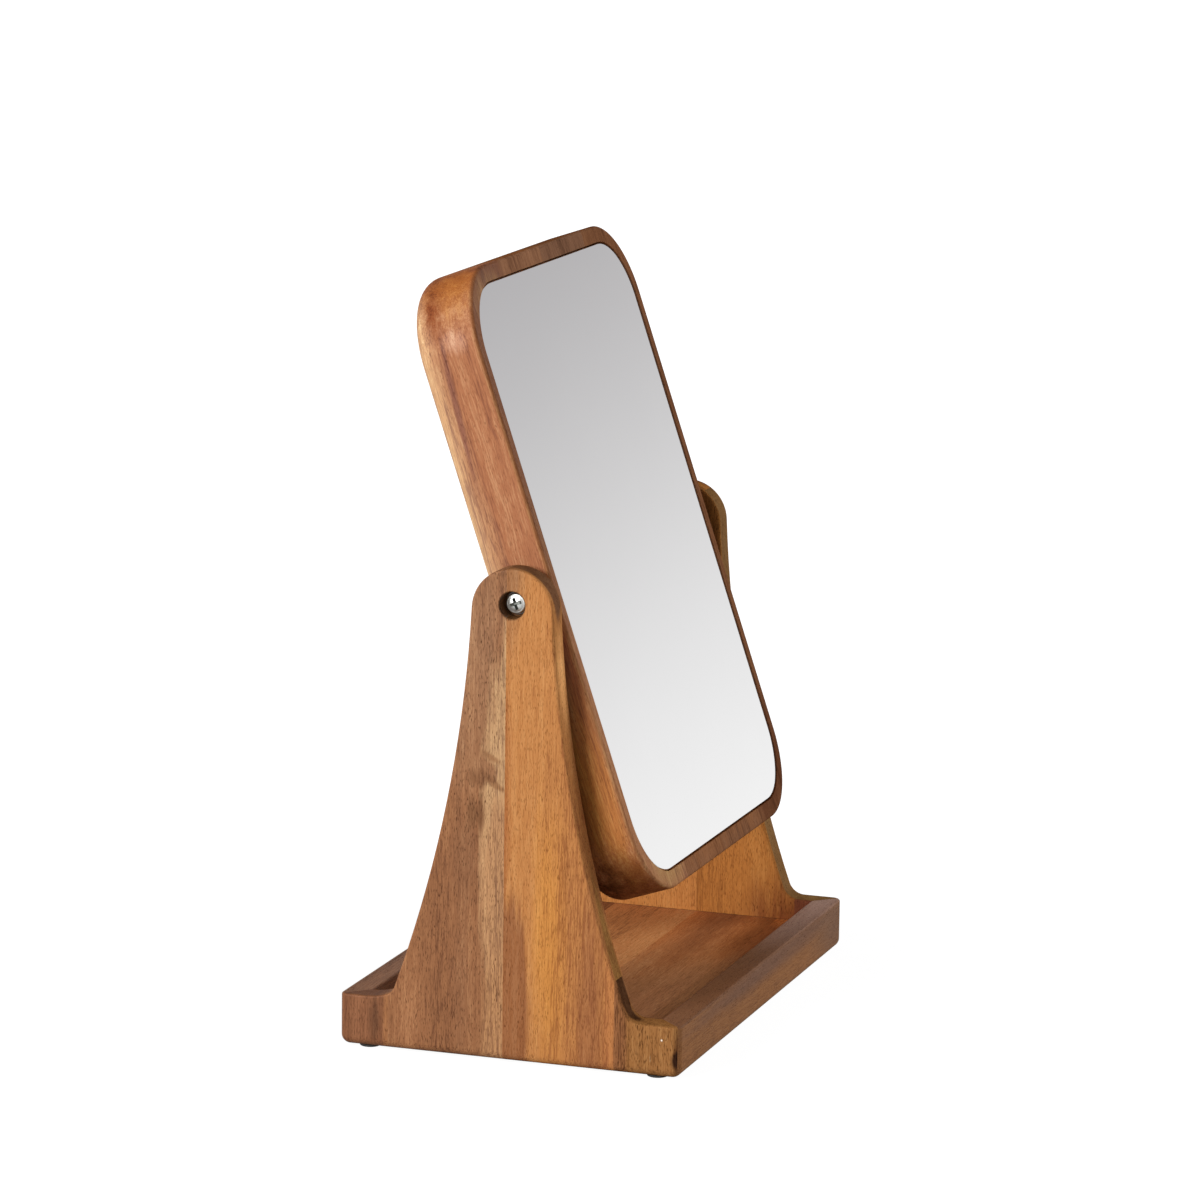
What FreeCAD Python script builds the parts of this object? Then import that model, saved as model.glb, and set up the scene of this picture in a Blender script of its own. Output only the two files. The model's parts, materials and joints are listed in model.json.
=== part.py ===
import FreeCAD, Part
import math
import os

# Vanity mirror with tray, in millimetres.
# +Z is up, the front is -Y, left is -X, and the origin is under the middle of the tray,
# on the surface that the rubber feet stand on.

# Tray walls
tray_width = 237.0
tray_depth = 151.0
wall_thickness = 11.6
lip_height = 22.1
corner_radius = 4.2
bottom_round = 4.0
edge_ease = 1.0

# Uprights, each one piece with a tray wall
upright_top_radius = 17.9
top_centre_drop = 2.7
flank_radius = 570.0
lip_shoulder = 22.8
front_lip_fillet = 7.5
front_lip_sweep = 400.0
back_lip_fillet = 5.0
back_lip_sweep = 30.0

# Tray floor, held in a groove round the walls
floor_thickness = 6.0
floor_top_height = 12.4
groove_depth = 4.5
groove_clearance = 0.2
floor_end_gap = 0.3

# Glue lines: the width of the two outer staves, and where the middle joint lies
left_front_stave = 28.8
left_middle_joint = 2.3
left_back_stave = 22.0
right_front_stave = 19.0
right_middle_joint = -10.0
right_back_stave = 20.5
floor_front_board = 20.1
floor_middle_joint = -10.0
floor_back_board = 39.1
board_left_stave = 49.0
board_middle_joint = -3.0
board_right_stave = 51.0

# Mirror board
board_height = 273.2
board_thickness = 29.0
board_corner_radius = 34.0
board_back_round = 8.2
board_front_ease = 1.5
pivot_from_front = 14.0
tilt_back = 18.95
side_gap = 3.9
swing_clearance = 34.6

# Mirror glass and the tape behind it
glass_side_margin = 5.6
glass_end_margin = 7.4
glass_thickness = 4.0
glass_recess = 0.5
glass_clearance = 0.5
glass_arris = 0.4
tape_thickness = 1.0
tape_width = 20.0
tape_end_margin = 25.0
tape_count = 4

# Pivot hardware
screw_diameter = 4.0
screw_tip_chamfer = 0.6
screw_tip_gap = 1.5
head_overhang = 2.45
head_side = 1.2
head_round = 1.0
head_crown = 0.7
recess_span = 6.0
recess_slot = 1.4
recess_depth = 2.2
recess_taper = 0.45
counterbore_clearance = 0.9
counterbore_chamfer = 0.3
counterbore_web = 3.9
washer_rim = 0.4
washer_thickness = 0.8
spacer_wall = 3.4
insert_wall = 1.0
insert_length = 12.0
running_clearance = 0.1
face_clearance = 0.1
thread_clearance = 0.05

# Rubber feet
foot_diameter = 9.0
foot_height = 1.0
foot_edge_round = 0.5
foot_side_inset = 7.1
foot_end_inset = 11.6

# Places that follow from those sizes
half_width = tray_width / 2
half_depth = tray_depth / 2
wood_bottom = foot_height
lip_top = wood_bottom + lip_height
floor_top = wood_bottom + floor_top_height
floor_bottom = floor_top - floor_thickness
inner_half_width = half_width - wall_thickness
inner_half_depth = half_depth - wall_thickness
floor_half_width = inner_half_width + groove_depth - floor_end_gap
floor_half_depth = inner_half_depth + groove_depth - floor_end_gap

board_width = 2 * (inner_half_width - side_gap)
pivot_from_back = board_thickness - pivot_from_front
swing_radius = math.hypot(board_height / 2, max(pivot_from_front, pivot_from_back))
pivot_z = lip_top + swing_clearance + swing_radius

glass_width = board_width - 2 * (glass_side_margin + glass_clearance)
glass_height = board_height - 2 * (glass_end_margin + glass_clearance)
glass_corner_radius = board_corner_radius - glass_side_margin - glass_clearance
pocket_depth = tape_thickness + glass_thickness + glass_recess
tape_front = -pivot_from_front + glass_recess + glass_thickness

screw_radius = screw_diameter / 2
running_radius = screw_radius + running_clearance
head_radius = screw_radius + head_overhang
washer_radius = head_radius + washer_rim
counterbore_radius = washer_radius + counterbore_clearance
spacer_radius = running_radius + spacer_wall
insert_radius = screw_radius + insert_wall
counterbore_floor_x = -inner_half_width - counterbore_web
head_seat_x = counterbore_floor_x - washer_thickness - face_clearance
head_rim_x = head_seat_x - head_side
head_shoulder_x = head_rim_x - head_round
head_top_x = head_shoulder_x - head_crown
board_left_x = -board_width / 2
screw_tip_x = board_left_x + insert_length - screw_tip_gap

# Room given to a tool solid beyond the wood that it cuts
overcut = 5.0

X_AXIS = FreeCAD.Vector(1, 0, 0)
Y_AXIS = FreeCAD.Vector(0, 1, 0)
Z_AXIS = FreeCAD.Vector(0, 0, 1)
ORIGIN = FreeCAD.Vector(0, 0, 0)


def point(x, y, z):
    return FreeCAD.Vector(x, y, z)


def line(start, end):
    return Part.LineSegment(start, end).toShape()


def arc_about(centre, radius, toward_start, toward_end):
    """An arc of less than half a turn, between two directions from its centre."""
    start = FreeCAD.Vector(toward_start).normalize()
    end = FreeCAD.Vector(toward_end).normalize()
    middle = (start + end).normalize()
    return Part.Arc(centre + start * radius, centre + middle * radius, centre + end * radius).toShape()


def face_of(edges):
    return Part.Face(Part.Wire(Part.__sortEdges__(edges)))


def block(x_range, y_range, z_range):
    size = [high - low for low, high in (x_range, y_range, z_range)]
    return Part.makeBox(*size, point(x_range[0], y_range[0], z_range[0]))


def rod(radius, x_from, x_to):
    """A cylinder along the pivot axis, which runs along X through the origin here."""
    return Part.makeCylinder(radius, x_to - x_from, point(x_from, 0, 0), X_AXIS)


def ring(outer_radius, inner_radius, x_from, x_to):
    return rod(outer_radius, x_from, x_to).cut(rod(inner_radius, x_from - overcut, x_to + overcut))


def mirrored(shape):
    """The same piece on the right side."""
    return shape.mirror(ORIGIN, X_AXIS)


def edges_on(shape, axis, value):
    """Edges that lie in the plane where the axis, X, Y or Z, has this value."""
    tolerance = 1e-3
    found = []
    for edge in shape.Edges:
        low = getattr(edge.BoundBox, axis + "Min")
        high = getattr(edge.BoundBox, axis + "Max")
        if abs(low - value) < tolerance and abs(high - value) < tolerance:
            found.append(edge)
    return found


def same_edges(first, second):
    return [edge for edge in first if any(edge.isSame(other) for other in second)]


def saw(solid, axis, half_size, low_piece, middle_joint, high_piece):
    """Cut a panel at its three glue lines, across X or Y, and give the four pieces in order."""
    box = solid.BoundBox
    x_range = (box.XMin - overcut, box.XMax + overcut)
    y_range = (box.YMin - overcut, box.YMax + overcut)
    z_range = (box.ZMin - overcut, box.ZMax + overcut)
    glue_lines = [low_piece - half_size, middle_joint, half_size - high_piece]
    joints = [-half_size - overcut] + glue_lines + [half_size + overcut]
    pieces = []
    for span in zip(joints[:-1], joints[1:]):
        slab = block(span, y_range, z_range) if axis == "X" else block(x_range, span, z_range)
        pieces.append(solid.common(slab).Solids[0])
    return pieces


# Tray walls

def mitre_prism(corners):
    """The plan of one wall, with 45 degree ends, carried up past everything."""
    closed = corners + corners[:1]
    edges = [line(point(*a, 0), point(*b, 0)) for a, b in zip(closed[:-1], closed[1:])]
    return face_of(edges).extrude(Z_AXIS * (pivot_z + upright_top_radius + overcut))


def corner_cutter(x_side, y_side):
    """What the rounded tray corner takes off the two walls that meet there."""
    round_top = wood_bottom + bottom_round
    round_radius = corner_radius - bottom_round
    ease_start = lip_top - edge_ease
    ease_radius = corner_radius - edge_ease
    turned = [
        line(point(0, 0, wood_bottom), point(round_radius, 0, wood_bottom)),
        arc_about(point(round_radius, 0, round_top), bottom_round, -Z_AXIS, X_AXIS),
        line(point(corner_radius, 0, round_top), point(corner_radius, 0, ease_start)),
        arc_about(point(ease_radius, 0, ease_start), edge_ease, X_AXIS, Z_AXIS),
        line(point(ease_radius, 0, lip_top), point(0, 0, lip_top)),
        line(point(0, 0, lip_top), point(0, 0, wood_bottom)),
    ]
    post = face_of(turned).revolve(ORIGIN, Z_AXIS, 360)
    reach = corner_radius + overcut
    square = block(
        sorted((0, x_side * reach)),
        sorted((0, y_side * reach)),
        (wood_bottom - overcut, lip_top + overcut),
    )
    cutter = square.cut(post)
    cutter.translate(point(x_side * (half_width - corner_radius), y_side * (half_depth - corner_radius), 0))
    return cutter


def floor_groove():
    return block(
        (-inner_half_width - groove_depth, inner_half_width + groove_depth),
        (-inner_half_depth - groove_depth, inner_half_depth + groove_depth),
        (floor_bottom, floor_top + groove_clearance),
    )


def meeting(first, first_reach, second, second_reach):
    """A point in the panel's plane at these distances from two centres.

    Of the two such points it is the one on the left hand, going from the first centre to the
    second with the outer face turned up.
    """
    span = second - first
    direction = FreeCAD.Vector(span).normalize()
    along = (first_reach ** 2 - second_reach ** 2 + span.Length ** 2) / (2 * span.Length)
    aside = math.sqrt(first_reach ** 2 - along ** 2)
    return first + direction * along + X_AXIS.cross(direction) * aside


def lip_and_flank(top_centre, flank_centre, fillet, sweep):
    """The back half of a panel's outline, from its corner up to the rounded top.

    The lip is level as far as the mitre, sweeps gently upward, and turns into the flank in a fillet.
    """
    x = -half_width
    sweep_start = point(x, inner_half_depth, lip_top)
    sweep_centre = sweep_start + Z_AXIS * sweep
    fillet_centre = meeting(flank_centre, flank_radius - fillet, sweep_centre, sweep - fillet)
    from_flank = fillet_centre - flank_centre
    from_sweep = fillet_centre - sweep_centre
    return [
        line(point(x, half_depth, wood_bottom), point(x, half_depth, lip_top)),
        line(point(x, half_depth, lip_top), sweep_start),
        arc_about(sweep_centre, sweep, -Z_AXIS, from_sweep),
        arc_about(fillet_centre, fillet, from_sweep, from_flank),
        arc_about(flank_centre, flank_radius, from_flank, top_centre - flank_centre),
    ]


def upright_outline():
    """The left panel seen from its side, as edges in the plane of its outer face."""
    x = -half_width
    top_centre = point(x, 0, pivot_z - top_centre_drop)
    flank_end = point(x, half_depth - lip_shoulder, lip_top)
    flank_centre = meeting(top_centre, upright_top_radius + flank_radius, flank_end, flank_radius)
    to_flank = flank_centre - top_centre
    bottom = line(point(x, -half_depth, wood_bottom), point(x, half_depth, wood_bottom))
    top = arc_about(top_centre, upright_top_radius, to_flank, point(0, -to_flank.y, to_flank.z))
    back = lip_and_flank(top_centre, flank_centre, back_lip_fillet, back_lip_sweep)
    front = lip_and_flank(top_centre, flank_centre, front_lip_fillet, front_lip_sweep)
    return [bottom, top] + back + [edge.mirror(ORIGIN, Y_AXIS) for edge in front]


def left_panel():
    panel = face_of(upright_outline()).extrude(X_AXIS * wall_thickness)
    bottom_edge = same_edges(edges_on(panel, "X", -half_width), edges_on(panel, "Z", wood_bottom))
    panel = panel.makeFillet(bottom_round, bottom_edge)
    eased = []
    for face_x in (-half_width, -inner_half_width):
        eased += [edge for edge in edges_on(panel, "X", face_x) if edge.BoundBox.ZMin > lip_top - edge_ease]
    panel = panel.makeFillet(edge_ease, eased)
    panel = panel.common(mitre_prism([
        (-half_width, -half_depth),
        (-inner_half_width, -inner_half_depth),
        (-inner_half_width, inner_half_depth),
        (-half_width, half_depth),
    ]))
    panel = panel.cut(floor_groove())
    for y_side in (-1, 1):
        panel = panel.cut(corner_cutter(-1, y_side))
    return panel.cut(pivot_hole())


def pivot_hole():
    """The counterbored hole for the left pivot screw."""
    hole = rod(running_radius, -half_width - overcut, -inner_half_width + overcut)
    hole = hole.fuse(rod(counterbore_radius, -half_width - overcut, counterbore_floor_x))
    mouth = Part.makeCone(
        counterbore_radius + counterbore_chamfer,
        counterbore_radius,
        counterbore_chamfer,
        point(-half_width, 0, 0),
        X_AXIS,
    )
    hole = hole.fuse(mouth)
    hole.translate(Z_AXIS * pivot_z)
    return hole


def front_rail():
    rail = block((-half_width, half_width), (-half_depth, -inner_half_depth), (wood_bottom, lip_top))
    bottom_edge = same_edges(edges_on(rail, "Y", -half_depth), edges_on(rail, "Z", wood_bottom))
    rail = rail.makeFillet(bottom_round, bottom_edge)
    eased = []
    for face_y in (-half_depth, -inner_half_depth):
        eased += same_edges(edges_on(rail, "Y", face_y), edges_on(rail, "Z", lip_top))
    rail = rail.makeFillet(edge_ease, eased)
    rail = rail.common(mitre_prism([
        (-half_width, -half_depth),
        (half_width, -half_depth),
        (inner_half_width, -inner_half_depth),
        (-inner_half_width, -inner_half_depth),
    ]))
    rail = rail.cut(floor_groove())
    for x_side in (-1, 1):
        rail = rail.cut(corner_cutter(x_side, -1))
    return rail.Solids[0]


def tray_floor():
    return block(
        (-floor_half_width, floor_half_width),
        (-floor_half_depth, floor_half_depth),
        (floor_bottom, floor_top),
    )


def rubber_foot(x_side, y_side):
    """A flat round pad with its lower edge rounded, under the wall near a corner."""
    radius = foot_diameter / 2
    turned = [
        line(point(0, 0, 0), point(radius - foot_edge_round, 0, 0)),
        arc_about(point(radius - foot_edge_round, 0, foot_edge_round), foot_edge_round, -Z_AXIS, X_AXIS),
        line(point(radius, 0, foot_edge_round), point(radius, 0, foot_height)),
        line(point(radius, 0, foot_height), point(0, 0, foot_height)),
        line(point(0, 0, foot_height), point(0, 0, 0)),
    ]
    foot = face_of(turned).revolve(ORIGIN, Z_AXIS, 360)
    foot_x = half_width - foot_side_inset
    foot_y = half_depth - foot_end_inset
    foot.translate(point(x_side * foot_x, y_side * foot_y, 0))
    return foot


# Mirror, drawn upright about the pivot axis and leaned back at the end

def rounded_slab(width, height, radius, y_range):
    """A slab that stands in the XZ plane, with its four corners rounded."""
    x_reach = width / 2 - radius
    z_reach = height / 2 - radius
    y = y_range[0]
    edges = []
    for side in (-1, 1):
        edges.append(line(point(-x_reach, y, side * height / 2), point(x_reach, y, side * height / 2)))
        edges.append(line(point(side * width / 2, y, -z_reach), point(side * width / 2, y, z_reach)))
        for end in (-1, 1):
            centre = point(side * x_reach, y, end * z_reach)
            edges.append(arc_about(centre, radius, X_AXIS * side, Z_AXIS * end))
    return face_of(edges).extrude(Y_AXIS * (y_range[1] - y))


def mirror_board():
    front = -pivot_from_front
    board = rounded_slab(board_width, board_height, board_corner_radius, (front, pivot_from_back))
    board = board.makeFillet(board_back_round, edges_on(board, "Y", pivot_from_back))
    board = board.makeFillet(board_front_ease, edges_on(board, "Y", front))
    pocket = rounded_slab(
        glass_width + 2 * glass_clearance,
        glass_height + 2 * glass_clearance,
        glass_corner_radius + glass_clearance,
        (front - overcut, front + pocket_depth),
    )
    insert_end_x = board_left_x + insert_length
    insert_hole = rod(insert_radius + thread_clearance, board_left_x - overcut, insert_end_x)
    return board.cut(pocket).cut(insert_hole).cut(mirrored(insert_hole))


def mirror_glass():
    front = -pivot_from_front + glass_recess
    glass = rounded_slab(glass_width, glass_height, glass_corner_radius, (front, tape_front))
    return glass.makeChamfer(glass_arris, edges_on(glass, "Y", front))


def mirror_tape():
    """Upright strips, spread evenly behind the glass."""
    pitch = glass_width / tape_count
    reach_z = glass_height / 2 - tape_end_margin
    strips = []
    for index in range(tape_count):
        middle = (index + 0.5) * pitch - glass_width / 2
        x_range = (middle - tape_width / 2, middle + tape_width / 2)
        strips.append(block(x_range, (tape_front, tape_front + tape_thickness), (-reach_z, reach_z)))
    return Part.makeCompound(strips)


# Pivot hardware, drawn for the left side along the pivot axis

def cross_outline(x, half_span, half_slot):
    """The plus shape of the driver recess, across the pivot axis."""
    quarter = [(half_slot, half_span), (half_slot, half_slot), (half_span, half_slot)]
    corners = []
    for turn in range(4):
        for along, across in quarter:
            spot = point(x, along, across)
            corners.append(FreeCAD.Rotation(X_AXIS, -90 * turn).multVec(spot))
    return Part.makePolygon(corners + corners[:1])


def pivot_screw():
    """A pan head with a crowned top, on a plain shank with a chamfered tip."""
    tip_radius = screw_radius - screw_tip_chamfer
    tip_start_x = screw_tip_x - screw_tip_chamfer
    shoulder_radius = head_radius - head_round
    crown_radius = (shoulder_radius ** 2 + head_crown ** 2) / (2 * head_crown)
    crown_centre = point(head_top_x + crown_radius, 0, 0)
    shoulder = point(head_shoulder_x, shoulder_radius, 0)
    turned = [
        line(point(head_top_x, 0, 0), point(screw_tip_x, 0, 0)),
        line(point(screw_tip_x, 0, 0), point(screw_tip_x, tip_radius, 0)),
        line(point(screw_tip_x, tip_radius, 0), point(tip_start_x, screw_radius, 0)),
        line(point(tip_start_x, screw_radius, 0), point(head_seat_x, screw_radius, 0)),
        line(point(head_seat_x, screw_radius, 0), point(head_seat_x, head_radius, 0)),
        line(point(head_seat_x, head_radius, 0), point(head_rim_x, head_radius, 0)),
        arc_about(point(head_rim_x, shoulder_radius, 0), head_round, Y_AXIS, -X_AXIS),
        arc_about(crown_centre, crown_radius, shoulder - crown_centre, -X_AXIS),
    ]
    screw = face_of(turned).revolve(ORIGIN, X_AXIS, 360)
    mouth = cross_outline(head_top_x, recess_span / 2, recess_slot / 2)
    bottom = cross_outline(
        head_top_x + recess_depth,
        recess_span / 2 * recess_taper,
        recess_slot / 2 * recess_taper,
    )
    return screw.cut(Part.makeLoft([mouth, bottom], True, True))


def head_washer():
    return ring(washer_radius, running_radius, counterbore_floor_x - washer_thickness, counterbore_floor_x)


def pivot_spacer():
    return ring(spacer_radius, running_radius, -inner_half_width, board_left_x - face_clearance)


def threaded_insert():
    bore_radius = screw_radius + thread_clearance
    return ring(insert_radius, bore_radius, board_left_x, board_left_x + insert_length)


def at_pivot(shape):
    placed = shape.copy()
    placed.translate(Z_AXIS * pivot_z)
    return placed


def leaned(shape):
    """A piece of the mirror, leaned back about the pivot axis and lifted to it."""
    turned = shape.copy()
    turned.rotate(ORIGIN, X_AXIS, -tilt_back)
    return at_pivot(turned)


nodes = {}


def add_sawn(panel_name, piece_names, pieces):
    for piece_name, piece in zip(piece_names, pieces):
        nodes[panel_name % piece_name] = piece


front_to_back = ("front", "mid_front", "mid_back", "back")
left_to_right = ("left", "mid_left", "mid_right", "right")

left = left_panel()
left_cuts = (left_front_stave, left_middle_joint, left_back_stave)
right_cuts = (right_front_stave, right_middle_joint, right_back_stave)
add_sawn("left_panel_%s_stave", front_to_back, saw(left, "Y", half_depth, *left_cuts))
add_sawn("right_panel_%s_stave", front_to_back, saw(mirrored(left), "Y", half_depth, *right_cuts))

nodes["front_rail"] = front_rail()
nodes["back_rail"] = nodes["front_rail"].mirror(ORIGIN, Y_AXIS)

floor_cuts = (floor_front_board, floor_middle_joint, floor_back_board)
add_sawn("tray_floor_%s_board", front_to_back, saw(tray_floor(), "Y", floor_half_depth, *floor_cuts))

for y_side, y_name in ((-1, "front"), (1, "back")):
    for x_side, x_name in ((-1, "left"), (1, "right")):
        nodes["rubber_foot_%s_%s" % (y_name, x_name)] = rubber_foot(x_side, y_side)

board_cuts = (board_left_stave, board_middle_joint, board_right_stave)
board_pieces = saw(mirror_board(), "X", board_width / 2, *board_cuts)
add_sawn("mirror_board_%s_stave", left_to_right, [leaned(piece) for piece in board_pieces])
nodes["mirror_glass"] = leaned(mirror_glass())
nodes["mirror_tape"] = leaned(mirror_tape())

for side, on_side in (("left", lambda shape: shape), ("right", mirrored)):
    nodes[side + "_pivot_screw"] = leaned(on_side(pivot_screw()))
    nodes[side + "_threaded_insert"] = leaned(on_side(threaded_insert()))
    nodes[side + "_head_washer"] = at_pivot(on_side(head_washer()))
    nodes[side + "_pivot_spacer"] = at_pivot(on_side(pivot_spacer()))

os.makedirs("parts", exist_ok=True)
for name, shape in nodes.items():
    shape.exportStep(os.path.join("parts", name + ".step"))
    print("%-32s solids %d  valid %s" % (name, len(shape.Solids), shape.isValid()))

whole = Part.makeCompound(list(nodes.values())).optimalBoundingBox(False, False)
print("overall %.1f x %.1f x %.1f mm" % (whole.XLength, whole.YLength, whole.ZLength))
print("pivot %.2f mm up, mirror board %.1f mm wide" % (pivot_z, board_width))
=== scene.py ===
# %% [markdown]
# # Vanity mirror with tray
# This lesson dresses a wooden table mirror. Every solid piece already comes from the CAD model, at
# its real size and with smooth normals, so nothing has to be modelled twice. What makes the object
# look real is its wood: each glued stave was cut from another board, so each one has its own tone,
# its own streaks and its own marks. The steps are the camera, the studio, one grain recipe for all
# the wood, the staves one by one, and at the end the glass and the small hardware.

# %% load the packed model
import json
import math
import bmesh
import bpy
from collections import namedtuple
from mathutils import Euler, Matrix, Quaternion, Vector

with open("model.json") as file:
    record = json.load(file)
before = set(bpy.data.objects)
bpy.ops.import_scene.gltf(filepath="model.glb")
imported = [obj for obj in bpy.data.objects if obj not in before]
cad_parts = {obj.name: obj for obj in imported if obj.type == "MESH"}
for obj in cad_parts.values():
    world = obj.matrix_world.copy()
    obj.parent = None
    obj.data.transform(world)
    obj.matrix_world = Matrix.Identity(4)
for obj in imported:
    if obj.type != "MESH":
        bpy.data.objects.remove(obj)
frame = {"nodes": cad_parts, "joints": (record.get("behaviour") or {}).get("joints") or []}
nodes = frame["nodes"]
scene = bpy.context.scene
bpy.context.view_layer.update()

# %% [markdown]
# ## The camera
# The photograph was taken from the left, a little in front and a little above, with a long lens, so
# upright lines hardly converge. Camera and object were fitted together to points of the photograph.
# The lens can be given in millimetres on a 36 mm sensor, and the aim as three angles: tip, turn and
# a very small roll, because the photographer's camera wasn't quite level.

# %% camera at the photographer's place
tip, turn, roll = (math.radians(angle) for angle in (90 - 11.075, -71.277, 0.787))
camera_data = bpy.data.cameras.new("photo_camera")
camera_data.lens = 165.02
camera_data.sensor_width = 36.0
camera_data.clip_end = 50.0
camera = bpy.data.objects.new("photo_camera", camera_data)
scene.collection.objects.link(camera)
camera.rotation_mode = "QUATERNION"
camera.rotation_quaternion = Euler((tip, 0, turn)).to_quaternion() @ Quaternion((0, 0, 1), roll)
camera.location = (-2.20682, -0.74597, 0.63201)
scene.camera = camera
scene.view_settings.view_transform = "Standard"
print("camera %.2f m from the object" % camera.location.length)

# %% [markdown]
# ## Short words for nodes
# A finish is a tree of small nodes. Written out in full, every node takes five lines and the idea
# is lost, so a small workbench class gives the few nodes used here short names. A value may be a
# number or the output of another node. Colours are written as on a paint chart, from 0 to 255, and
# turned into the linear light that nodes work in.


# %% a workbench for node trees
class Bench:
    def __init__(self, tree):
        self.tree = tree
        tree.nodes.clear()

    def add(self, kind, inputs=(), **settings):
        """A new node. Inputs go by position or, as a dictionary, by name."""
        node = self.tree.nodes.new(kind)
        for name, value in settings.items():
            setattr(node, name, value)
        for key, value in inputs.items() if isinstance(inputs, dict) else enumerate(inputs):
            self.fill(node.inputs[key], value)
        return node

    def fill(self, socket, value):
        if isinstance(value, bpy.types.NodeSocket):
            self.tree.links.new(value, socket)
        else:
            socket.default_value = value

    def maths(self, operation, *values):
        return self.add("ShaderNodeMath", values, operation=operation).outputs[0]

    def vectors(self, operation, *values):
        return self.add("ShaderNodeVectorMath", values, operation=operation).outputs[0]

    def scaled(self, vector, factor):
        values = {0: vector, "Scale": factor}
        return self.add("ShaderNodeVectorMath", values, operation="SCALE").outputs[0]

    def length(self, vector):
        return self.add("ShaderNodeVectorMath", [vector], operation="LENGTH").outputs["Value"]

    def ramp(self, value, low, high, to_low=0.0, to_high=1.0):
        """A soft step: to_low up to low, to_high from high on."""
        values = [value, low, high, to_low, to_high]
        return self.add("ShaderNodeMapRange", values, interpolation_type="SMOOTHSTEP").outputs[0]

    def noise(self, place, per_metre, detail=2.0, roughness=0.5):
        """Noise with so many waves in a metre along each of the three directions."""
        stretched = self.vectors("MULTIPLY", place, per_metre)
        settings = {"Vector": stretched, "Scale": 1.0, "Detail": detail, "Roughness": roughness}
        return self.add("ShaderNodeTexNoise", settings).outputs[0]

    def blend(self, amount, first, second, how="MIX"):
        node = self.add("ShaderNodeMix", data_type="RGBA", blend_type=how)
        for index, value in ((0, amount), (6, first), (7, second)):
            self.fill(node.inputs[index], value)
        return node.outputs[2]


print("short words:", ", ".join(word for word in vars(Bench) if not word.startswith("_")))

# %% colours
WHITE = (1, 1, 1, 1)


def grey(level):
    """A neutral colour, in linear light."""
    return (level, level, level, 1)


def paint(red, green, blue):
    """A colour as a paint chart gives it, 0 to 255, turned into the linear light of the nodes."""
    channels = [value / 255 for value in (red, green, blue)]
    return [c / 12.92 if c <= 0.04045 else ((c + 0.055) / 1.055) ** 2.4 for c in channels] + [1.0]


print("a middle brown in linear light:", [round(channel, 3) for channel in paint(160, 107, 68)])

# %% [markdown]
# ## The studio
# The object stands on a white sweep with a white surround. A real sweep is a bent sheet of card. A
# flat floor under a world that the camera sees as white does the same and has no fold to hide.
# Close to the object, a fifth of what the camera sees of the floor is lit card, which keeps the
# soft shadow. Further out the floor is plain white. The mirror needs something to reflect as well:
# white card near the horizon that turns grey higher up, which is what the photograph shows from the
# foot of the glass to its top.

# %% the white surround
# Card and light turn between two heights over the horizon, where 1 is straight up.
low_card, high_card = grey(0.97), (0.437, 0.424, 0.433, 1)
card_turns = (-0.03, 0.13)
low_light, high_light = grey(0.42), (0.25, 0.25, 0.255, 1)
light_turns = (0.1, 0.8)
world = bpy.data.worlds.new("studio")
scene.world = world
world.use_nodes = True
bench = Bench(world.node_tree)
rays = bench.add("ShaderNodeLightPath")
direction = bench.add("ShaderNodeTexCoord").outputs["Generated"]
height = bench.add("ShaderNodeSeparateXYZ", [direction]).outputs["Z"]
card = bench.blend(bench.ramp(height, *card_turns), low_card, high_card)
glossy, through = rays.outputs["Is Glossy Ray"], rays.outputs["Is Transmission Ray"]
reflected = bench.maths("MAXIMUM", glossy, through)
ambient = bench.blend(bench.ramp(height, *light_turns), low_light, high_light)
seen = bench.blend(reflected, ambient, card)
seen = bench.blend(rays.outputs["Is Camera Ray"], seen, WHITE)
surround = bench.add("ShaderNodeBackground", [seen, 1.0])
bench.add("ShaderNodeOutputWorld", [surround.outputs[0]])
print("surround: white for the camera, a grey to white card for reflections")

# %% the floor
half_floor = 6.0
floor_mesh = bpy.data.meshes.new("studio_floor")
form = bmesh.new()
bmesh.ops.create_grid(form, x_segments=1, y_segments=1, size=half_floor)
form.to_mesh(floor_mesh)
form.free()
floor = bpy.data.objects.new("studio_floor", floor_mesh)
scene.collection.objects.link(floor)
print("floor: %.0f m square" % (2 * half_floor))

# %% the white card on the floor
# Two distances from the middle, and how much of the floor is plain white.
near, far = 0.16, 0.28
white_near, white_far, white_mirrored = 0.8, 1.0, 0.25
floor_card = bpy.data.materials.new("floor_card")
floor_card.use_nodes = True
bench = Bench(floor_card.node_tree)
rays = bench.add("ShaderNodeLightPath")
place = bench.add("ShaderNodeTexCoord").outputs["Object"]
fibre = bench.ramp(bench.noise(place, (90, 90, 90), detail=3), 0.3, 0.7)
lit = bench.add("ShaderNodeBsdfDiffuse", [bench.blend(fibre, grey(0.38), grey(0.41))])
white = bench.add("ShaderNodeEmission", [WHITE, 1.2])
in_reflections = bench.maths("MULTIPLY", rays.outputs["Is Glossy Ray"], white_mirrored)
to_camera = bench.ramp(bench.length(place), near, far, white_near, white_far)
amount = bench.maths("MULTIPLY_ADD", rays.outputs["Is Camera Ray"], to_camera, in_reflections)
both = bench.add("ShaderNodeMixShader", [amount, lit.outputs[0], white.outputs[0]])
bench.add("ShaderNodeOutputMaterial", [both.outputs[0]])
floor_mesh.materials.append(floor_card)
print("floor card:", len(floor_card.node_tree.nodes), "nodes")

# %% the lamps
lit_spot = Vector((0, 0, 0.15))


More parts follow.
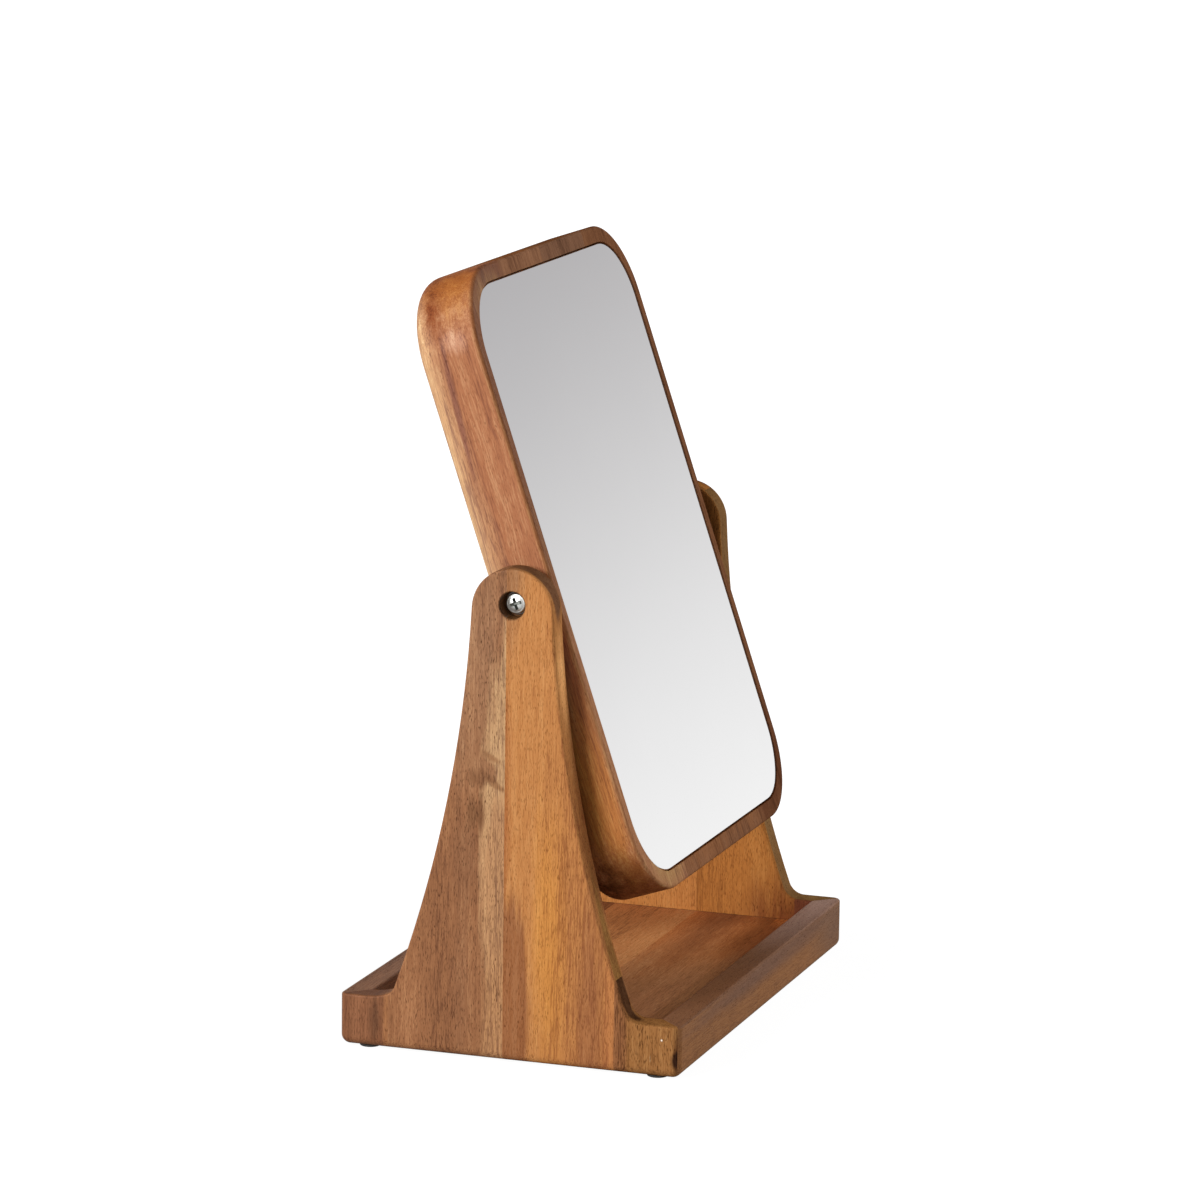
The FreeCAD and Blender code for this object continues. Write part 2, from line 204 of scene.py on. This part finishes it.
def soft_box(name, place, size, watts):
    """A square soft box, turned to the middle of the object."""
    data = bpy.data.lights.new(name, "AREA")
    data.shape = "SQUARE"
    data.size = size
    data.energy = watts
    lamp = bpy.data.objects.new(name, data)
    lamp.location = place
    lamp.rotation_mode = "QUATERNION"
    lamp.rotation_quaternion = (lit_spot - Vector(place)).to_track_quat("-Z", "Y")
    scene.collection.objects.link(lamp)
    print("%s: %.1f m square, %.0f W" % (name, size, watts))


soft_box("key_box", (-1.70, 0.86, 0.85), size=0.8, watts=39)
soft_box("fill_box", (1.35, -1.45, 0.90), size=0.9, watts=26)

# %% [markdown]
# ## One grain for all the wood
# The mirror is of a lacquered hardwood like acacia: broad soft bands of tone, narrower streaks that
# run with the grain, fine fibres, and open pores that show as short dark dashes. All of it is noise
# that is stretched a lot along the grain, in layers from broad to fine. Because the noise fills
# space, the same recipe shows long streaks on a face and dots on an end, as real wood does, with no
# unwrapping. It is kept in one node group, and each stave turns its own knobs. The seed moves a
# stave to another place in the noise, so no two staves are alike.


# %% the grain group
def make_grain():
    tree = bpy.data.node_groups.new("lacquered_grain", "ShaderNodeTree")
    bench = Bench(tree)
    for name, kind in (
        ("Place", "Vector"), ("Seed", "Float"),
        ("Light", "Color"), ("Mid", "Color"), ("Dark", "Color"),
        ("Bands", "Float"), ("Streaks", "Float"), ("Fibres", "Float"), ("Pores", "Float"),
    ):
        tree.interface.new_socket(name, in_out="INPUT", socket_type="NodeSocket" + kind)
    for name, kind in (("Colour", "Color"), ("Pore", "Float"), ("Height", "Float")):
        tree.interface.new_socket(name, in_out="OUTPUT", socket_type="NodeSocket" + kind)
    knobs = bench.add("NodeGroupInput").outputs

    # The seed moves the place, and a slow sway bends the grain a little.
    place = bench.vectors("ADD", knobs["Place"], bench.scaled((0.37, 0.53, 0.71), knobs["Seed"]))
    sway = bench.maths("SUBTRACT", bench.noise(place, (7, 7, 4), detail=1), 0.5)
    place = bench.vectors("ADD", place, bench.scaled((0.012, 0.009, 0.0), sway))

    # Three layers of tone, each from -0.5 to 0.5, move the colour from dark over mid to light.
    bands = bench.noise(place, (42, 42, 1.8), detail=3, roughness=0.55)
    bands = bench.maths("SUBTRACT", bands, 0.5)
    streaks = bench.noise(place, (230, 230, 5), detail=4, roughness=0.6)
    streaks = bench.maths("SUBTRACT", streaks, 0.5)
    fibres = bench.noise(place, (1500, 1500, 110), detail=2, roughness=0.6)
    fibres = bench.maths("SUBTRACT", fibres, 0.5)
    tone = bench.maths("MULTIPLY_ADD", bands, knobs["Bands"], 0.5)
    tone = bench.maths("MULTIPLY_ADD", streaks, knobs["Streaks"], tone)
    tone = bench.maths("MULTIPLY_ADD", fibres, knobs["Fibres"], tone)
    colour = bench.blend(bench.ramp(tone, 0.1, 0.5), knobs["Dark"], knobs["Mid"])
    colour = bench.blend(bench.ramp(tone, 0.5, 0.9), colour, knobs["Light"])

    # Pores are dark dashes that stand closer together in some places.
    dashes = bench.ramp(bench.noise(place, (4300, 4300, 520), detail=0), 0.60, 0.74)
    crowd = bench.ramp(bench.noise(place, (260, 260, 40), detail=2), 0.3, 0.65, 0.55, 1.0)
    pore = bench.maths("MULTIPLY", dashes, crowd)
    depth = bench.maths("MULTIPLY", pore, knobs["Pores"])
    sap = bench.blend(1.0, knobs["Dark"], (0.46, 0.38, 0.32, 1), "MULTIPLY")
    colour = bench.blend(depth, colour, sap)
    height = bench.maths("MULTIPLY_ADD", fibres, 0.5, 0.5)
    height = bench.maths("SUBTRACT", height, depth)
    bench.add("NodeGroupOutput", [colour, pore, height])
    return tree


grain = make_grain()
print("grain group:", len(grain.nodes), "nodes")

# %% [markdown]
# ## From grain to a finish
# A stave needs more than grain. Its grain runs up an upright, along a rail, or up the leaning
# board, so the coordinates are turned to suit. Cut ends drink more lacquer and look darker. On the
# leaning board the top and underside are darkened much more, and that part is painted shade. The
# photograph shows hardly any gloss, so the coat is rough and weak, a little rougher over pores, and
# a stave can turn its shine off.
#
# Each board also has marks of its own, such as a tan strip, a dark flame or a knot, and some marks
# are painted light and shade. A mark is an ellipsoid in the wood: a centre, a reach in each
# direction, and the colour that the middle tone takes there. The grain is then laid over it as a
# ratio to the middle tone, so the streaks stay visible through every mark. Soft is the part of the
# reach over which the mark fades, ragged is how much noise frays its edge, and slant lets it lean
# across the grain. A stave ends at its glue line, so a mark that is centred on the line shows a
# crisp edge there and a soft one on the other side.

# %% where the grain runs
PIVOT = Vector(frame["joints"][0]["pos_m"])
LEAN = math.radians(18.95)


def grain_place(bench, runs):
    """Object coordinates and normals with the grain along the third direction."""
    place = bench.add("ShaderNodeTexCoord")
    spot, facing = place.outputs["Object"], place.outputs["Normal"]
    if runs == "leaning":
        upright = Euler((LEAN, 0, 0))
        to_pivot = {"Vector": spot, "Location": -(upright.to_matrix() @ PIVOT), "Rotation": upright}
        spot = bench.add("ShaderNodeMapping", to_pivot).outputs[0]
        turned = {"Vector": facing, "Rotation": upright}
        facing = bench.add("ShaderNodeMapping", turned, vector_type="NORMAL").outputs[0]
    if runs == "across":
        spot, facing = [
            bench.add("ShaderNodeCombineXYZ", [split["Y"], split["Z"], split["X"]]).outputs[0]
            for split in (bench.add("ShaderNodeSeparateXYZ", [v]).outputs for v in (spot, facing))
        ]
    return spot, facing


print("pivot at", [round(value, 4) for value in PIVOT])
print("lean of the board: %.2f degrees" % math.degrees(LEAN))

# %% marks in the wood
ENDLESS = 9.0
Mark = namedtuple("Mark", "centre reach colour soft ragged slant", defaults=(0.6, 0.25, 0.0))


def inside(bench, place, fray, mark):
    """1 in a mark and 0 outside. None is a direction in which the mark has no end."""
    centre = [0.0 if value is None else value for value in mark.centre]
    reach = [ENDLESS if value is None else value for value in mark.reach]
    away = bench.vectors("SUBTRACT", place, centre)
    if mark.slant:
        along = bench.add("ShaderNodeSeparateXYZ", [away]).outputs["Z"]
        sideways = bench.maths("MULTIPLY", along, mark.slant)
        lean = bench.add("ShaderNodeCombineXYZ", {"Y": sideways}).outputs[0]
        away = bench.vectors("SUBTRACT", away, lean)
    away = bench.vectors("DIVIDE", away, reach)
    distance = bench.maths("MULTIPLY_ADD", fray, mark.ragged, bench.length(away))
    return bench.ramp(distance, 1.0, 1.0 - mark.soft)


print("a mark has:", ", ".join(Mark._fields))

# %% finishing a stave
COAT_ROUGHNESS, PORE_ROUGHNESS, CLOUD_ROUGHNESS = 0.52, 0.18, 0.16
END_GRAIN = (0.55, 0.98)


def new_finish(node, ending):
    """A new material on a CAD piece, and the bench to build it on."""
    material = bpy.data.materials.new(node + ending)
    material.use_nodes = True
    mesh = nodes[node].data
    mesh.materials.clear()
    mesh.materials.append(material)
    return Bench(material.node_tree)


def finish_wood(
    node, seed, mid, dark, light, runs="upright", marks=(), bands=1.3, streaks=1.0, fibres=1.3,
    pores=0.7, end_tone=(0.82, 0.81, 0.74), shine=0.10,
):
    """A lacquered stave: grain, marks (painted light and shade among them) and darker cut ends."""
    bench = new_finish(node, "_wood")
    place, facing = grain_place(bench, runs)
    knobs = {
        "Place": place, "Seed": seed,
        "Light": paint(*light), "Mid": paint(*mid), "Dark": paint(*dark),
        "Bands": bands, "Streaks": streaks, "Fibres": fibres, "Pores": pores,
    }
    wood = bench.add("ShaderNodeGroup", node_tree=grain)
    for name, value in knobs.items():
        bench.fill(wood.inputs[name], value)

    # Marks change the middle tone, and the grain is laid over it as a ratio.
    ground = paint(*mid)
    frayed = bench.noise(place, (250, 250, 18), detail=4, roughness=0.62)
    fray = bench.maths("MULTIPLY_ADD", frayed, 4.0, -2.0)
    for mark in marks:
        ground = bench.blend(inside(bench, place, fray, mark), ground, paint(*mark.colour))
    ratio = bench.vectors("DIVIDE", wood.outputs["Colour"], paint(*mid)[:3])
    colour = bench.blend(1.0, ratio, ground, "MULTIPLY")

    # A cut end faces along the grain.
    along = bench.maths("ABSOLUTE", bench.add("ShaderNodeSeparateXYZ", [facing]).outputs["Z"])
    colour = bench.blend(bench.ramp(along, *END_GRAIN), colour, [*end_tone, 1], "MULTIPLY")

    # The coat is rougher over pores and a little cloudy.
    rough = bench.maths("MULTIPLY_ADD", wood.outputs["Pore"], PORE_ROUGHNESS, COAT_ROUGHNESS)
    cloud = bench.maths("SUBTRACT", bench.noise(place, (30, 30, 30), detail=3), 0.5)
    rough = bench.maths("MULTIPLY_ADD", cloud, CLOUD_ROUGHNESS, rough)
    surface = {"Strength": 0.35, "Distance": 0.0002, "Height": wood.outputs["Height"]}
    bump = bench.add("ShaderNodeBump", surface)
    shader = bench.add("ShaderNodeBsdfPrincipled", {
        "Base Color": colour, "Roughness": rough, "Normal": bump.outputs[0],
        "Specular IOR Level": shine,
    })
    bench.add("ShaderNodeOutputMaterial", [shader.outputs[0]])
    print("%s: %d marks" % (node, len(marks)))


print("pieces to finish:", len(nodes))

# %% [markdown]
# ## The left panel
# Four staves with upright grain make the panel that faces the camera. From the back: a red-brown
# one; a mauve-brown one with a tan wedge along its glue line, and dark flames that lick into the
# wedge at a slant; a golden one with a red band low down; and a yellow-brown one with coarse
# streaks, a small knot at the corner and a filled nail hole. A mark's values are thickness, depth
# and height. Where the first is None, the mark runs through the whole thickness of the panel. Where
# it isn't, the mark colours only the narrow front edge or the corner.

# %% left panel, back stave
finish_wood(
    "left_panel_back_stave", seed=1.3,
    mid=(130, 84, 56), dark=(102, 62, 42), light=(149, 99, 68),
    marks=[
        Mark((None, 0.0590, 0.013), (None, 0.0040, 0.012), (108, 70, 47), soft=0.9, ragged=0.5),
        Mark((None, 0.0535, 0.010), (None, 0.0030, 0.040), (158, 106, 68)),
    ],
)

# %% left panel, mid back stave
mauve_clouds = [
    Mark((None, 0.020, 0.180), (None, 0.034, 0.085), (153, 109, 77), soft=0.9),
    Mark((None, 0.0440, 0.015), (None, 0.0120, 0.040), (154, 103, 68), soft=0.9),
    Mark((None, 0.0185, 0.087), (None, 0.0100, 0.032), (135, 90, 60), soft=0.8, ragged=0.3),
    Mark((None, 0.0205, 0.030), (None, 0.0060, 0.045), (144, 97, 65), soft=0.9, ragged=0.3),
]
tan_wedge = [
    Mark((None, 0.0, 0.128), (None, 0.0136, 0.105), (191, 149, 106),
         soft=0.4, ragged=0.18, slant=-0.075),
    Mark((None, 0.0, 0.075), (None, 0.0160, 0.050), (184, 136, 94), soft=0.4, ragged=0.2),
    Mark((None, 0.0, 0.000), (None, 0.0170, 0.060), (186, 136, 92), soft=0.5, ragged=0.18),
]
flames = [
    Mark((None, 0.0150, 0.1060), (None, 0.0055, 0.0095), (122, 81, 52), soft=0.9, ragged=0.7),
    Mark((None, 0.0130, 0.1262), (None, 0.0085, 0.0068), (154, 108, 74),
         soft=0.6, ragged=0.25, slant=0.5),
    Mark((None, 0.0085, 0.1305), (None, 0.0038, 0.0040), (154, 110, 74),
         soft=0.9, ragged=0.4, slant=1.5),
    Mark((None, 0.0145, 0.1212), (None, 0.0066, 0.0048), (130, 87, 57), soft=0.9, ragged=0.7),
    Mark((None, 0.0080, 0.1205), (None, 0.0036, 0.0042), (136, 93, 61),
         soft=0.9, ragged=0.4, slant=1.0),
    Mark((None, 0.0040, 0.1176), (None, 0.0036, 0.0030), (158, 114, 76),
         soft=0.9, ragged=0.4, slant=1.5),
]
# The counterbore of the screw is darker. The two middle staves share it.
bore_shade = Mark(
    (None, 0.0, 0.1951), (None, 0.0064, 0.0064), (118, 80, 50), soft=0.12, ragged=0.06,
)
finish_wood(
    "left_panel_mid_back_stave", seed=2.1,
    mid=(148, 99, 65), dark=(112, 71, 47), light=(167, 117, 79),
    pores=0.9, marks=[*mauve_clouds, *tan_wedge, *flames, bore_shade],
)

# %% left panel, mid front stave
golden_tones = [
    Mark((None, 0.0023, 0.215), (None, 0.0130, 0.050), (156, 108, 72), soft=0.9),
    Mark((None, -0.018, 0.055), (None, 0.010, 0.080), (200, 135, 70), soft=0.8),
]
red_band = [
    Mark((None, 0.0023, 0.100), (None, 0.0045, 0.080), (168, 106, 62), soft=0.8, ragged=0.5),
    Mark((None, 0.0023, 0.015), (None, 0.0135, 0.074), (150, 96, 60), soft=0.3, ragged=0.25),
]
front_bands = [
    Mark((None, -0.0365, 0.010), (None, 0.0085, 0.095), (166, 109, 68), soft=0.8, ragged=0.3),
    Mark((None, -0.0470, 0.010), (None, 0.0062, 0.060), (188, 124, 74), soft=0.5, ragged=0.15),
]
# The front edge: olive brown low down, a painted highlight higher up and painted shade at its top.
edge_light_and_shade = [
    Mark((-0.1127, -0.0600, 0.030), (0.0056, 0.0350, 0.110), (157, 112, 62), soft=0.3, ragged=0.05),
    Mark((-0.1127, -0.0200, 0.166), (0.0070, 0.0200, 0.028), (236, 170, 106),
         soft=0.9, ragged=0.05),
    Mark((-0.1120, -0.0140, 0.210), (0.0057, 0.0200, 0.026), (123, 85, 59), soft=0.3, ragged=0.05),
]
finish_wood(
    "left_panel_mid_front_stave", seed=3.7,
    mid=(186, 125, 73), dark=(154, 97, 58), light=(198, 139, 85),
    shine=0.0, marks=[*golden_tones, *red_band, *front_bands, *edge_light_and_shade, bore_shade],
)

# %% left panel, front stave
dark_edge = Mark(
    (-0.1127, -0.0530, 0.040), (0.0056, 0.0110, 0.022), (88, 57, 36), soft=0.25, ragged=0.05,
)
knot = [
    Mark((-0.1185, -0.0755, 0.0100), (0.0030, 0.0030, 0.0200), (112, 70, 40), soft=0.4, ragged=0.1),
    Mark((-0.1172, -0.0742, 0.0090), (0.0034, 0.0034, 0.0056), (62, 38, 26), soft=0.5, ragged=0.2),
]
nail_hole = [
    Mark((None, -0.0677, 0.0172), (None, 0.0005, 0.0006), (255, 240, 220), ragged=0.0),
    Mark((None, -0.0628, 0.0088), (None, 0.0003, 0.0020), (190, 150, 105), ragged=0.0),
]
finish_wood(
    "left_panel_front_stave", seed=5.6,
    mid=(156, 106, 61), dark=(106, 68, 39), light=(176, 126, 77),
    streaks=1.3, pores=0.95, shine=0.0,
    marks=[
        Mark((None, -0.0467, 0.010), (None, 0.0072, 0.060), (150, 99, 63), soft=0.6, ragged=0.3),
        dark_edge, *knot, *nail_hole,
    ],
)

# %% [markdown]
# ## The right panel
# Its inner face shows between the board and the rail: a warm golden brown that turns dark red
# towards the front rail, darkest in the corner by the floor, which is painted shade, and darker
# behind the board, where the board's shadow is painted on. Its narrow edge is an olive brown. The
# outer face isn't in the photograph, so it is a plain brown like the other panel's. The edge and
# the two faces are marks that reach over only a part of the thickness. The same recipe serves,
# with its own seeds.

# %% right panel staves
right_look = dict(bands=1.3, streaks=0.8, fibres=1.2, pores=0.8, shine=0.0)
right_edge = Mark((0.1127, None, None), (0.0052, None, None), (134, 98, 61), soft=0.2, ragged=0.05)
# Painted shadow of the board on the inner face.
painted_board_shadow = Mark((0.1069, -0.010, 0.190), (0.0050, 0.040, 0.080), (145, 95, 48), soft=0.9)
outer_face = Mark((0.1195, None, None), (0.0045, None, None), (160, 107, 68), soft=0.5)
finish_wood(
    "right_panel_front_stave", seed=11.2,
    mid=(132, 76, 49), dark=(106, 60, 40), light=(148, 90, 60),
    # The first mark is painted shade in the corner by the floor and the front rail.
    marks=[Mark((None, -0.064, 0.018), (None, 0.012, 0.020), (117, 65, 46), soft=0.9), right_edge],
    **right_look,
)
finish_wood(
    "right_panel_mid_front_stave", seed=12.4,
    mid=(180, 116, 58), dark=(151, 95, 48), light=(192, 129, 68),
    marks=[
        # Painted shade in the corner by the floor and the front rail.
        Mark((None, -0.060, 0.010), (None, 0.040, 0.036), (124, 68, 38), soft=0.9),
        painted_board_shadow, outer_face, right_edge,
    ],
    **right_look,
)
finish_wood(
    "right_panel_mid_back_stave", seed=13.1,
    mid=(187, 123, 66), dark=(157, 99, 54), light=(199, 137, 78),
    marks=[painted_board_shadow, outer_face._replace(colour=(148, 99, 66))], **right_look,
)
finish_wood(
    "right_panel_back_stave", seed=14.8,
    mid=(146, 96, 64), dark=(108, 68, 46), light=(166, 114, 78),
    **right_look,
)

# %% [markdown]
# ## Rails and floor
# The rails are a darker brown with their grain lengthwise, so here a mark's values are depth,
# height and length. The front rail is greyer along the upper half of its face, a painted sheen,
# and its top goes from brown at the left to a pale mauve at the right, a painted sheen too. The
# floor is glued from four boards whose tone changes in bands from front to back. It is darkest
# along the front rail, towards the right, where the rail's shadow is painted on, with patches of
# painted light that even it out.

# %% rails
# Painted sheen: the upper half of the face is greyer, and so is the face towards its right end.
rail_face_sheen = [
    Mark((-0.0760, 0.0195, 0.020), (0.004, 0.0085, 0.180), (130, 93, 71), soft=0.8, ragged=0.15),
    Mark((-0.0760, 0.0130, 0.110), (0.004, 0.0200, 0.050), (134, 98, 74), soft=0.9, ragged=0.1),
]
# The top: brown at the left, then a pale mauve towards the right, which is painted sheen.
rail_top_tones_and_sheen = [
    Mark((-0.0697, 0.0236, middle), (0.012, 0.0022, half), colour, soft, ragged)
    for middle, half, colour, soft, ragged in (
        (0.000, 0.500, (124, 84, 57), 0.5, 0.0),
        (-0.050, 0.055, (125, 83, 54), 0.7, 0.1),
        (0.060, 0.060, (140, 106, 88), 0.8, 0.1),
        (0.110, 0.060, (160, 125, 108), 0.8, 0.1),
    )
]
finish_wood(
    "front_rail", seed=21.3,
    mid=(160, 109, 68), dark=(138, 92, 57), light=(169, 118, 75),
    runs="across", bands=0.8, streaks=0.4, shine=0.04, marks=[*rail_face_sheen, *rail_top_tones_and_sheen],
)
finish_wood(
    "back_rail", seed=22.9,
    mid=(138, 97, 70), dark=(100, 66, 46), light=(158, 114, 84),
    runs="across",
)

# %% floor boards
floor_look = dict(runs="across", bands=1.0, streaks=0.45, pores=0.5, shine=0.03)
finish_wood(
    "tray_floor_front_board", seed=31.7,
    mid=(161, 107, 67), dark=(128, 83, 51), light=(176, 122, 79),
    marks=[
        # Painted shadow of the front rail, towards the right.
        Mark((None, None, 0.100), (None, None, 0.120), (139, 79, 42), soft=0.8),
        # Painted light: the next two marks lift the rail's shade at the left and near the right
        # panel.
        Mark((-0.056, None, -0.030), (0.018, None, 0.080), (188, 131, 87), soft=0.9, ragged=0.2),
        Mark((-0.052, None, 0.108), (0.012, None, 0.018), (198, 117, 60), soft=0.9, ragged=0.05),
    ],
    **floor_look,
)
finish_wood(
    "tray_floor_mid_front_board", seed=32.2,
    mid=(166, 112, 71), dark=(134, 88, 55), light=(184, 130, 86),
    marks=[
        Mark((None, None, 0.110), (None, None, 0.130), (174, 106, 59), soft=0.9),
        Mark((-0.0440, None, -0.045), (0.022, None, 0.085), (184, 126, 84), soft=0.9, ragged=0.1),
        Mark((-0.0255, None, 0.095), (0.018, None, 0.140), (142, 88, 53), soft=0.9, ragged=0.15),
        Mark((-0.0480, None, 0.075), (0.015, None, 0.065), (132, 76, 40), soft=0.9, ragged=0.1),
    ],
    **floor_look,
)
finish_wood(
    "tray_floor_mid_back_board", seed=33.4,
    mid=(180, 119, 72), dark=(142, 92, 56), light=(194, 137, 87),
    **floor_look,
)
finish_wood(
    "tray_floor_back_board", seed=34.6,
    mid=(142, 92, 58), dark=(104, 64, 40), light=(164, 112, 70),
    **floor_look,
)

# %% [markdown]
# ## The mirror board
# A thick board of four staves whose grain runs up the leaning frame. Its marks are measured from
# the pivot: width, depth, and height along the board. The left side is orange-brown with red
# streaks. A purple streak crosses it on a slant, and behind that a lighter tan band, which is
# painted light, follows the round back edge. Painted shade makes the side darker towards its foot,
# with the upright's shadow and a painted lit band near the front, and a painted highlight sits near
# its top corner. The narrow margin round the glass is a duller brown with tan corners, redder
# below.

# %% mirror board, left stave
# Cut ends of the board, top and underside, turn dark orange: end grain and painted shade.
board_look = dict(runs="leaning", end_tone=(0.85, 0.68, 0.48), pores=0.5)
# Painted light: a lighter tan band along the round back edge of the side.
painted_back_light = Mark(
    (-0.103, 0.015, 0.030), (0.035, 0.014, 0.300), (212, 167, 123), soft=0.9, ragged=0.15,
)
purple_streak = Mark(
    (None, 0.0040, 0.080), (None, 0.0020, 0.060), (142, 92, 72),
    soft=0.9, ragged=0.3, slant=-0.065,
)
top_tones_and_highlight = [
    Mark((None, -0.0040, 0.135), (None, 0.0200, 0.022), (179, 114, 63), soft=0.9),
    Mark((None, 0.0040, 0.122), (None, 0.0060, 0.013), (142, 78, 46), soft=0.9, ragged=0.4),
    # A pale painted highlight where the top corner starts to curve.
    Mark((None, -0.0040, 0.110), (None, 0.0080, 0.007), (194, 141, 110), soft=0.9, ragged=0.3),
]
# Painted shade towards the foot and the upright's shadow, with a painted lit band near the front.
foot_shade_and_light = [
    Mark((None, 0.0000, -0.085), (None, 0.0300, 0.075), (168, 105, 50), soft=0.9),
    Mark((None, 0.0110, -0.080), (None, 0.0135, 0.075), (120, 66, 29), soft=0.9, ragged=0.2),
    Mark((None, -0.0085, -0.085), (None, 0.0060, 0.045), (180, 115, 63), soft=0.9, ragged=0.2),
    Mark((None, -0.0060, -0.124), (None, 0.0140, 0.016), (132, 76, 38), soft=0.9, ragged=0.2),
    Mark((-0.100, 0.0100, -0.132), (0.030, 0.0180, 0.020), (78, 43, 23), soft=0.9),
]
glass_margin = [
    Mark((None, -0.0150, 0.000), (None, 0.0034, 0.400), (171, 114, 74), soft=0.5, ragged=0.05),
    Mark((None, -0.0150, 0.080), (None, 0.0034, 0.150), (131, 80, 49), soft=0.6, ragged=0.05),
    Mark((-0.071, -0.0160, 0.122), (0.028, 0.0045, 0.016), (180, 135, 89), soft=0.7, ragged=0.05),
    Mark((-0.069, -0.0160, -0.123), (0.030, 0.0050, 0.019), (181, 133, 81), soft=0.6, ragged=0.05),
]
finish_wood(
    "mirror_board_left_stave", seed=41.5,
    mid=(168, 109, 75), dark=(132, 81, 59), light=(188, 134, 96),
    streaks=1.3, shine=0.04,
    marks=[painted_back_light, purple_streak, *top_tones_and_highlight, *foot_shade_and_light, *glass_margin],
    **board_look,
)

# %% mirror board, the other staves
margin_look = dict(streaks=0.8, shine=0.0, **board_look)
low_margin = Mark((None, -0.016, -0.115), (None, 0.010, 0.040), (150, 99, 64), soft=0.9)
finish_wood(
    "mirror_board_mid_left_stave", seed=42.8,
    mid=(152, 107, 78), dark=(118, 80, 58), light=(166, 119, 88),
    marks=[
        Mark((-0.060, None, None), (0.012, None, None), (112, 74, 55), soft=0.9, ragged=0.3),
        low_margin,
    ],
    **margin_look,
)
finish_wood(
    "mirror_board_mid_right_stave", seed=43.6,
    mid=(132, 94, 71), dark=(102, 70, 52), light=(146, 106, 80),
    marks=[low_margin], **margin_look,
)
finish_wood(
    "mirror_board_right_stave", seed=44.1,
    mid=(128, 85, 58), dark=(98, 63, 43), light=(144, 99, 69),
    marks=[low_margin._replace(colour=(102, 62, 41))], **margin_look,
)

# %% [markdown]
# ## Glass and hardware
# The mirror is silvered glass: a metal with almost no roughness, which varies a little as it does
# on wiped glass. The screws are bright zinc, the washers dull steel, the bushes black nylon, the
# inserts brass, the feet black rubber, and the tape behind the glass is off-white. One recipe
# serves for all of them: two near colours mixed by noise, and a fine bump. The cross in a screw
# head is cut in the CAD model. Painted shade makes it a little darker than the crown round it.

# %% the driver recess
CROWN_RADIUS = 0.00885
RECESS_EDGE = (0.0034, 0.0031)
RECESS_DEPTH = (0.00005, 0.0003)
# The darker zinc in the cross of a screw head is painted shade.
PAINTED_SHADE_ZINC = paint(158, 161, 156)


def driver_recess(bench, place, screw):
    """1 in the cross of a screw head: near the axis and well under the crown."""
    head_top = max(abs(corner[0]) for corner in nodes[screw].bound_box)
    away = bench.vectors("SUBTRACT", place, PIVOT)
    radius = bench.length(bench.vectors("MULTIPLY", away, (0, 1, 1)))
    along = bench.maths("ABSOLUTE", bench.add("ShaderNodeSeparateXYZ", [away]).outputs["X"])
    crown = bench.maths("MULTIPLY", bench.maths("POWER", radius, 2.0), 1 / (2 * CROWN_RADIUS))
    under = bench.maths("SUBTRACT", bench.maths("SUBTRACT", head_top, along), crown)
    cut = bench.ramp(under, *RECESS_DEPTH)
    return bench.maths("MULTIPLY", cut, bench.ramp(radius, *RECESS_EDGE))


print("crown of a screw head: radius %.2f mm" % (1000 * CROWN_RADIUS))


# %% a finish for plain pieces
def finish_plain(node, colour, other, waves, rough, rough_spread, metal=0.0, bump=0.2):
    """A finish that varies a little between two colours, with a fine uneven surface."""
    bench = new_finish(node, "_finish")
    place = bench.add("ShaderNodeTexCoord").outputs["Object"]
    cloud = bench.noise(place, (waves,) * 3, detail=4, roughness=0.6)
    fine = bench.noise(place, (9 * waves,) * 3, detail=2)
    tone = bench.blend(bench.ramp(cloud, 0.3, 0.7), paint(*colour), paint(*other))
    # Painted shade darkens the cross in a screw head.
    if node.endswith("_screw"):
        tone = bench.blend(driver_recess(bench, place, node), tone, PAINTED_SHADE_ZINC)
    uneven = bench.maths("SUBTRACT", cloud, 0.5)
    roughness = bench.maths("MULTIPLY_ADD", uneven, rough_spread, rough)
    surface = bench.add("ShaderNodeBump", {"Strength": bump, "Distance": 0.0001, "Height": fine})
    shader = bench.add("ShaderNodeBsdfPrincipled", {
        "Base Color": tone, "Roughness": roughness, "Metallic": metal, "Normal": surface.outputs[0],
    })
    bench.add("ShaderNodeOutputMaterial", [shader.outputs[0]])
    print("%s: roughness about %.2f" % (node, rough))


wooden = [name for name in nodes if name + "_wood" in bpy.data.materials]
print("pieces left for a plain finish:", len(nodes) - len(wooden))

# %% glass and hardware
finish_plain(
    "mirror_glass", (247, 247, 247), (248, 248, 248),
    waves=14, rough=0.02, rough_spread=0.02, metal=1.0, bump=0.0,
)
finish_plain(
    "mirror_tape", (222, 221, 216), (206, 205, 200),
    waves=300, rough=0.8, rough_spread=0.1,
)
for side in ("left", "right"):
    finish_plain(
        side + "_pivot_screw", (243, 245, 241), (224, 228, 223),
        waves=420, rough=0.38, rough_spread=0.2, metal=1.0,
    )
    finish_plain(
        side + "_head_washer", (178, 178, 176), (150, 150, 148),
        waves=500, rough=0.42, rough_spread=0.2, metal=1.0,
    )
    finish_plain(
        side + "_pivot_spacer", (32, 32, 32), (44, 43, 42),
        waves=700, rough=0.55, rough_spread=0.15,
    )
    finish_plain(
        side + "_threaded_insert", (205, 172, 104), (176, 140, 78),
        waves=500, rough=0.32, rough_spread=0.15, metal=1.0,
    )
    for end in ("front", "back"):
        finish_plain(
            "rubber_foot_%s_%s" % (end, side), (34, 32, 31), (48, 46, 44),
            waves=900, rough=0.74, rough_spread=0.15, bump=0.4,
        )
